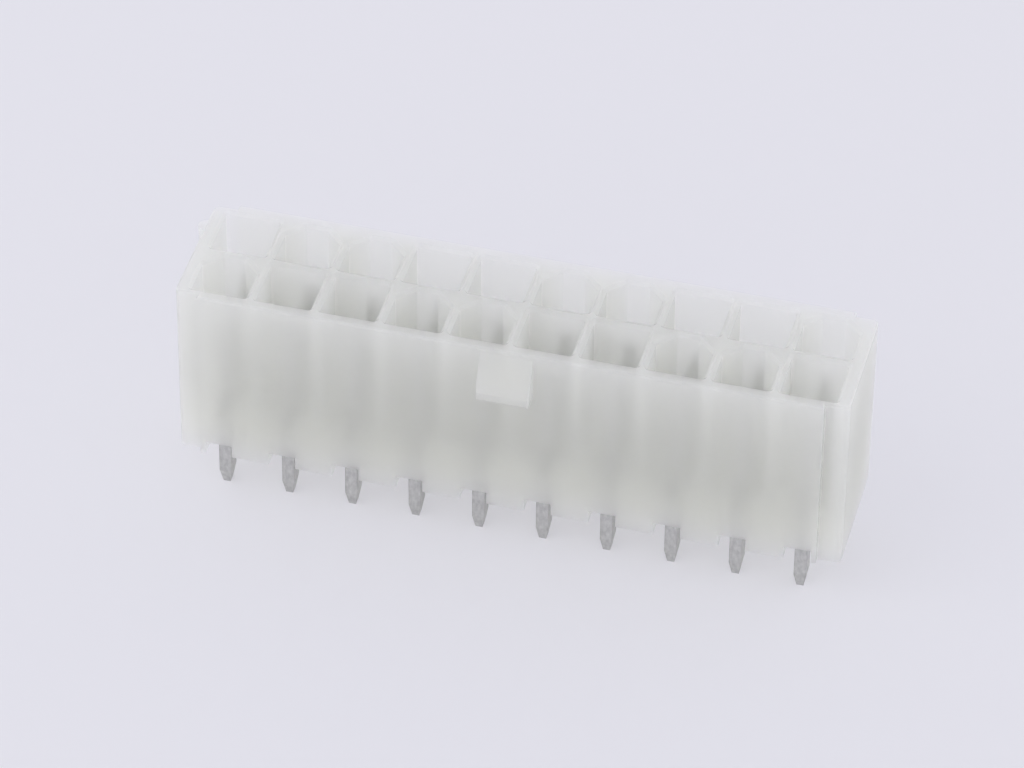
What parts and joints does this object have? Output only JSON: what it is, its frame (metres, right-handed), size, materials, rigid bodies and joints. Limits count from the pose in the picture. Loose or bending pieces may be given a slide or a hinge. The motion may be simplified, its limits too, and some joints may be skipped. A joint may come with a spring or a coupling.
{
  "type": "pin header",
  "caption": "Upright two-row board header: a shrouded block of keyed square cells with a latch ramp, holding stamped pins whose tails solder into a circuit board.",
  "frame": {"origin": "the middle of the shroud, on the plane of the board's surface that its feet stand on", "axes": "+X along the rows to the end without the gate stub, +Y away from the latch ramp, +Z out of the cells, the way the plug leaves"},
  "size_m": [0.0437, 0.0108, 0.0163],
  "materials": {
    "natural_nylon": "milky, slightly see-through moulded nylon, satin",
    "tinned_brass": "matte tin plate over brass"
  },
  "bodies": {
    "root": {"housing": "natural_nylon", "pin_front_01": "tinned_brass", "pin_front_02": "tinned_brass", "pin_front_03": "tinned_brass", "pin_front_04": "tinned_brass", "pin_front_05": "tinned_brass", "pin_front_06": "tinned_brass", "pin_front_07": "tinned_brass", "pin_front_08": "tinned_brass", "pin_front_09": "tinned_brass", "pin_front_10": "tinned_brass", "pin_back_01": "tinned_brass", "pin_back_02": "tinned_brass", "pin_back_03": "tinned_brass", "pin_back_04": "tinned_brass", "pin_back_05": "tinned_brass", "pin_back_06": "tinned_brass", "pin_back_07": "tinned_brass", "pin_back_08": "tinned_brass", "pin_back_09": "tinned_brass", "pin_back_10": "tinned_brass"}
  },
  "joints": []
}
